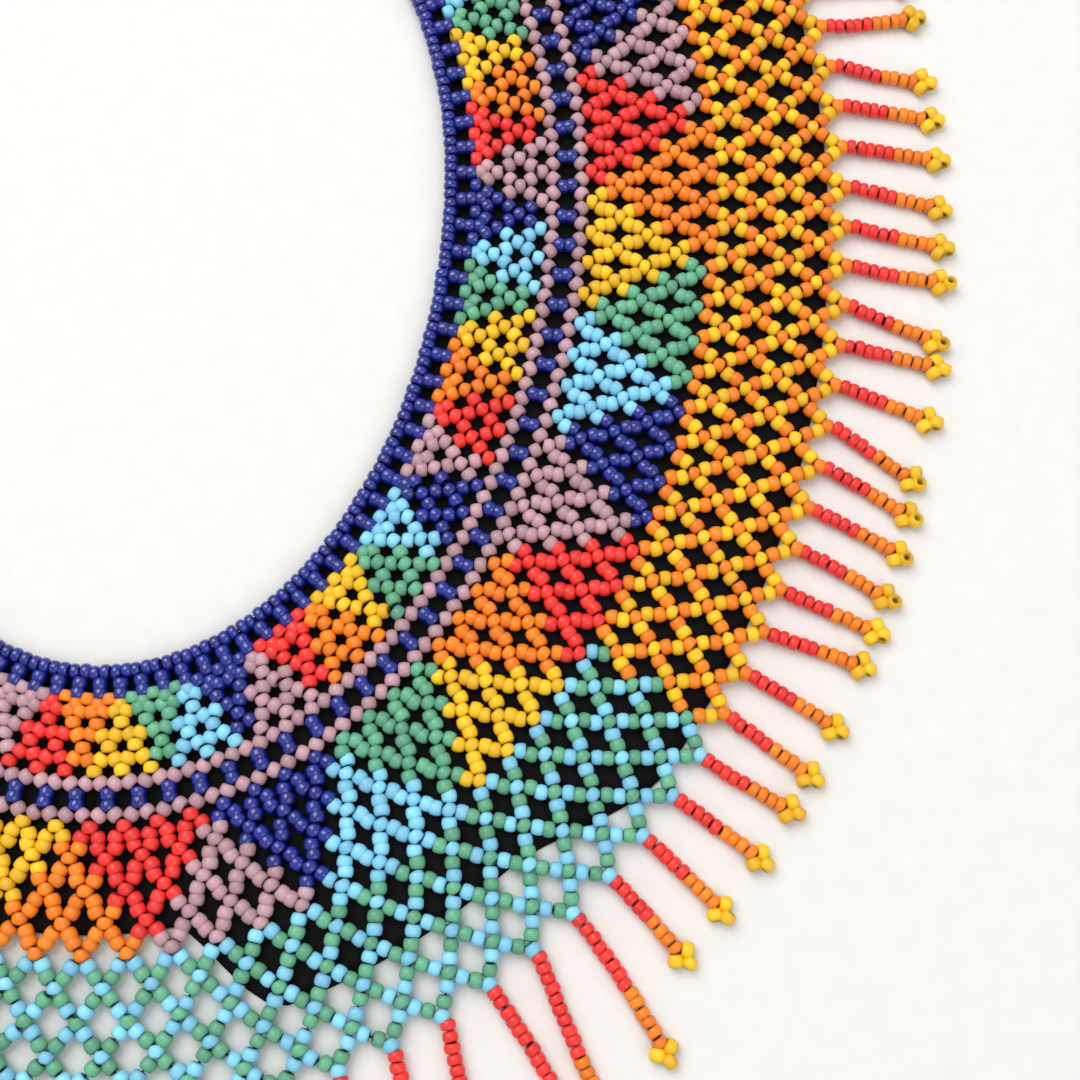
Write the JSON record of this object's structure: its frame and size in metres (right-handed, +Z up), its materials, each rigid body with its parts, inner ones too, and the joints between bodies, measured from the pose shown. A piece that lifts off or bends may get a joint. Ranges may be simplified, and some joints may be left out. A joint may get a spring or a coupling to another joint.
{
  "type": "beaded collar necklace",
  "caption": "Flat oval collar necklace of netted glass seed beads, with triangle bands, open lace, a bead fringe and a clasp at the back.",
  "frame": {"origin": "on the surface that the collar lies on, below the centre of its overall box", "axes": "+Z up out of the surface, +Y towards the clasp at the back of the neck, -Y towards the front of the chest"},
  "size_m": [0.275, 0.3332, 0.0029],
  "materials": {
    "neck_beads": "dark blue glass seed beads, glossy",
    "inner_band_beads": "glass seed beads in seven colours, netted in small triangles, glossy",
    "ladder_beads": "mauve glass seed beads with dark blue rungs, glossy",
    "outer_band_beads": "glass seed beads in seven colours, netted in large triangles, glossy",
    "front_lace_beads": "light blue and green glass seed beads, glossy",
    "side_lace_beads": "orange and yellow glass seed beads, glossy",
    "fringe_beads": "red, orange and yellow glass seed beads, glossy",
    "lining_cloth": "thin black cloth, matt",
    "beading_thread": "black nylon beading thread, satin",
    "clasp_metal": "silver-plated, polished"
  },
  "bodies": {
    "back_left": {"back_left_neck_strand": "neck_beads", "back_left_inner_triangles": "inner_band_beads", "back_left_ladder": "ladder_beads", "back_left_outer_triangles": "outer_band_beads", "back_left_lace": "side_lace_beads", "back_left_lining": "lining_cloth", "end_tip_left": "clasp_metal"},
    "shoulder_left": {"shoulder_left_neck_strand": "neck_beads", "shoulder_left_inner_triangles": "inner_band_beads", "shoulder_left_ladder": "ladder_beads", "shoulder_left_outer_triangles": "outer_band_beads", "shoulder_left_lace": "side_lace_beads", "shoulder_left_lining": "lining_cloth"},
    "front": {"front_neck_strand": "neck_beads", "front_inner_triangles": "inner_band_beads", "front_ladder": "ladder_beads", "front_outer_triangles": "outer_band_beads", "front_lace": "front_lace_beads", "front_lining": "lining_cloth"},
    "shoulder_right": {"shoulder_right_neck_strand": "neck_beads", "shoulder_right_inner_triangles": "inner_band_beads", "shoulder_right_ladder": "ladder_beads", "shoulder_right_outer_triangles": "outer_band_beads", "shoulder_right_lace": "side_lace_beads", "shoulder_right_lining": "lining_cloth"},
    "back_right": {"back_right_neck_strand": "neck_beads", "back_right_inner_triangles": "inner_band_beads", "back_right_ladder": "ladder_beads", "back_right_outer_triangles": "outer_band_beads", "back_right_lace": "side_lace_beads", "back_right_lining": "lining_cloth", "end_tip_right": "clasp_metal"},
    "back_left_fringe_1": {"back_left_fringe_1": "fringe_beads"},
    "back_left_fringe_2": {"back_left_fringe_2": "fringe_beads"},
    "back_left_fringe_3": {"back_left_fringe_3": "fringe_beads"},
    "shoulder_left_fringe_1": {"shoulder_left_fringe_1": "fringe_beads"},
    "shoulder_left_fringe_2": {"shoulder_left_fringe_2": "fringe_beads"},
    "shoulder_left_fringe_3": {"shoulder_left_fringe_3": "fringe_beads"},
    "shoulder_left_fringe_4": {"shoulder_left_fringe_4": "fringe_beads"},
    "front_fringe_1": {"front_fringe_1": "fringe_beads"},
    "front_fringe_2": {"front_fringe_2": "fringe_beads"},
    "front_fringe_3": {"front_fringe_3": "fringe_beads"},
    "front_fringe_4": {"front_fringe_4": "fringe_beads"},
    "front_fringe_5": {"front_fringe_5": "fringe_beads"},
    "front_fringe_6": {"front_fringe_6": "fringe_beads"},
    "front_fringe_7": {"front_fringe_7": "fringe_beads"},
    "front_fringe_8": {"front_fringe_8": "fringe_beads"},
    "front_fringe_9": {"front_fringe_9": "fringe_beads"},
    "shoulder_right_fringe_1": {"shoulder_right_fringe_1": "fringe_beads"},
    "shoulder_right_fringe_2": {"shoulder_right_fringe_2": "fringe_beads"},
    "shoulder_right_fringe_3": {"shoulder_right_fringe_3": "fringe_beads"},
    "shoulder_right_fringe_4": {"shoulder_right_fringe_4": "fringe_beads"},
    "back_right_fringe_1": {"back_right_fringe_1": "fringe_beads"},
    "back_right_fringe_2": {"back_right_fringe_2": "fringe_beads"},
    "back_right_fringe_3": {"back_right_fringe_3": "fringe_beads"},
    "catch_ring": {"catch_ring": "clasp_metal"},
    "jump_ring": {"jump_ring": "clasp_metal"},
    "clasp": {"clasp_body": "clasp_metal", "clasp_rivet": "clasp_metal"},
    "clasp_lever": {"clasp_lever": "clasp_metal"}
  },
  "joints": [
    {"name": "shoulder_fold_right", "type": "hinge", "parent": "front", "child": "shoulder_right", "pos_m": [0.04443, -0.02897, 0.0031], "axis": [0.933, -0.3598, 0], "range_deg": [0, 90]},
    {"name": "back_fold_right", "type": "hinge", "parent": "shoulder_right", "child": "back_right", "pos_m": [0.04103, 0.05788, 0.0031], "axis": [0.8716, 0.4902, 0], "range_deg": [0, 90]},
    {"name": "shoulder_fold_left", "type": "hinge", "parent": "front", "child": "shoulder_left", "pos_m": [-0.04443, -0.02897, 0.0031], "axis": [-0.933, -0.3598, 0], "range_deg": [-90, 0]},
    {"name": "back_fold_left", "type": "hinge", "parent": "shoulder_left", "child": "back_left", "pos_m": [-0.04103, 0.05788, 0.0031], "axis": [-0.8716, 0.4902, 0], "range_deg": [-90, 0]},
    {"name": "back_left_fringe_1_lift", "type": "hinge", "parent": "back_left", "child": "back_left_fringe_1", "pos_m": [-0.03877, 0.13969, 0.0031], "axis": [-0.9231, -0.3845, 0], "range_deg": [-60, 0]},
    {"name": "back_left_fringe_2_lift", "type": "hinge", "parent": "back_left", "child": "back_left_fringe_2", "pos_m": [-0.06554, 0.12375, 0.0031], "axis": [0.7752, 0.6317, 0], "range_deg": [0, 60]},
    {"name": "back_left_fringe_3_lift", "type": "hinge", "parent": "back_left", "child": "back_left_fringe_3", "pos_m": [-0.08684, 0.10134, 0.0031], "axis": [-0.5887, -0.8084, 0], "range_deg": [-60, 0]},
    {"name": "shoulder_left_fringe_1_lift", "type": "hinge", "parent": "shoulder_left", "child": "shoulder_left_fringe_1", "pos_m": [-0.10311, 0.07087, 0.0031], "axis": [0.3673, 0.9301, 0], "range_deg": [0, 60]},
    {"name": "shoulder_left_fringe_2_lift", "type": "hinge", "parent": "shoulder_left", "child": "shoulder_left_fringe_2", "pos_m": [-0.11263, 0.03453, 0.0031], "axis": [-0.1299, -0.9915, 0], "range_deg": [-60, 0]},
    {"name": "shoulder_left_fringe_3_lift", "type": "hinge", "parent": "shoulder_left", "child": "shoulder_left_fringe_3", "pos_m": [-0.11372, -0.00125, 0.0031], "axis": [-0.0779, 0.997, 0], "range_deg": [0, 60]},
    {"name": "shoulder_left_fringe_4_lift", "type": "hinge", "parent": "shoulder_left", "child": "shoulder_left_fringe_4", "pos_m": [-0.10783, -0.03502, 0.0031], "axis": [0.2624, -0.965, 0], "range_deg": [-60, 0]},
    {"name": "front_fringe_1_lift", "type": "hinge", "parent": "front", "child": "front_fringe_1", "pos_m": [-0.0971, -0.06418, 0.0031], "axis": [-0.4414, 0.8973, 0], "range_deg": [0, 60]},
    {"name": "front_fringe_2_lift", "type": "hinge", "parent": "front", "child": "front_fringe_2", "pos_m": [-0.08188, -0.08823, 0.0031], "axis": [0.6148, -0.7887, 0], "range_deg": [-60, 0]},
    {"name": "front_fringe_3_lift", "type": "hinge", "parent": "front", "child": "front_fringe_3", "pos_m": [-0.06053, -0.10919, 0.0031], "axis": [-0.7928, 0.6094, 0], "range_deg": [0, 60]},
    {"name": "front_fringe_4_lift", "type": "hinge", "parent": "front", "child": "front_fringe_4", "pos_m": [-0.03261, -0.12429, 0.0031], "axis": [0.9404, -0.3402, 0], "range_deg": [-60, 0]},
    {"name": "front_fringe_5_lift", "type": "hinge", "parent": "front", "child": "front_fringe_5", "pos_m": [0, -0.12997, 0.0031], "axis": [-1, 0, 0], "range_deg": [0, 60]},
    {"name": "front_fringe_6_lift", "type": "hinge", "parent": "front", "child": "front_fringe_6", "pos_m": [0.03261, -0.12429, 0.0031], "axis": [0.9404, 0.3402, 0], "range_deg": [-60, 0]},
    {"name": "front_fringe_7_lift", "type": "hinge", "parent": "front", "child": "front_fringe_7", "pos_m": [0.06053, -0.10919, 0.0031], "axis": [-0.7928, -0.6094, 0], "range_deg": [0, 60]},
    {"name": "front_fringe_8_lift", "type": "hinge", "parent": "front", "child": "front_fringe_8", "pos_m": [0.08188, -0.08823, 0.0031], "axis": [0.6148, 0.7887, 0], "range_deg": [-60, 0]},
    {"name": "front_fringe_9_lift", "type": "hinge", "parent": "front", "child": "front_fringe_9", "pos_m": [0.0971, -0.06418, 0.0031], "axis": [-0.4414, -0.8973, 0], "range_deg": [0, 60]},
    {"name": "shoulder_right_fringe_1_lift", "type": "hinge", "parent": "shoulder_right", "child": "shoulder_right_fringe_1", "pos_m": [0.10783, -0.03502, 0.0031], "axis": [0.2624, 0.965, 0], "range_deg": [-60, 0]},
    {"name": "shoulder_right_fringe_2_lift", "type": "hinge", "parent": "shoulder_right", "child": "shoulder_right_fringe_2", "pos_m": [0.11372, -0.00125, 0.0031], "axis": [-0.0779, -0.997, 0], "range_deg": [0, 60]},
    {"name": "shoulder_right_fringe_3_lift", "type": "hinge", "parent": "shoulder_right", "child": "shoulder_right_fringe_3", "pos_m": [0.11263, 0.03453, 0.0031], "axis": [-0.1299, 0.9915, 0], "range_deg": [-60, 0]},
    {"name": "shoulder_right_fringe_4_lift", "type": "hinge", "parent": "shoulder_right", "child": "shoulder_right_fringe_4", "pos_m": [0.10311, 0.07087, 0.0031], "axis": [0.3673, -0.9301, 0], "range_deg": [0, 60]},
    {"name": "back_right_fringe_1_lift", "type": "hinge", "parent": "back_right", "child": "back_right_fringe_1", "pos_m": [0.08684, 0.10134, 0.0031], "axis": [-0.5887, 0.8084, 0], "range_deg": [-60, 0]},
    {"name": "back_right_fringe_2_lift", "type": "hinge", "parent": "back_right", "child": "back_right_fringe_2", "pos_m": [0.06554, 0.12375, 0.0031], "axis": [0.7752, -0.6317, 0], "range_deg": [0, 60]},
    {"name": "back_right_fringe_3_lift", "type": "hinge", "parent": "back_right", "child": "back_right_fringe_3", "pos_m": [0.03877, 0.13969, 0.0031], "axis": [-0.9231, 0.3845, 0], "range_deg": [-60, 0]},
    {"name": "jump_ring_swivel", "type": "hinge", "parent": "back_right", "child": "jump_ring", "pos_m": [0.00596, 0.08642, 0.0018], "axis": [0.2372, 0.9715, 0], "range_deg": [0, 25]},
    {"name": "clasp_swivel", "type": "hinge", "parent": "jump_ring", "child": "clasp", "pos_m": [0.00366, 0.08503, 0.0018], "axis": [-0.9715, 0.2372, 0], "range_deg": [0, 60]},
    {"name": "clasp_lever_turn", "type": "hinge", "parent": "clasp", "child": "clasp_lever", "pos_m": [0.00412, 0.08059, 0.0018], "axis": [0, 0, 1], "range_deg": [-25, 0], "stiffness_Nm_per_rad": 0.00002},
    {"name": "catch_ring_swivel", "type": "hinge", "parent": "back_left", "child": "catch_ring", "pos_m": [-0.00596, 0.08642, 0.0018], "axis": [0.2372, -0.9715, 0], "range_deg": [0, 60]}
  ]
}
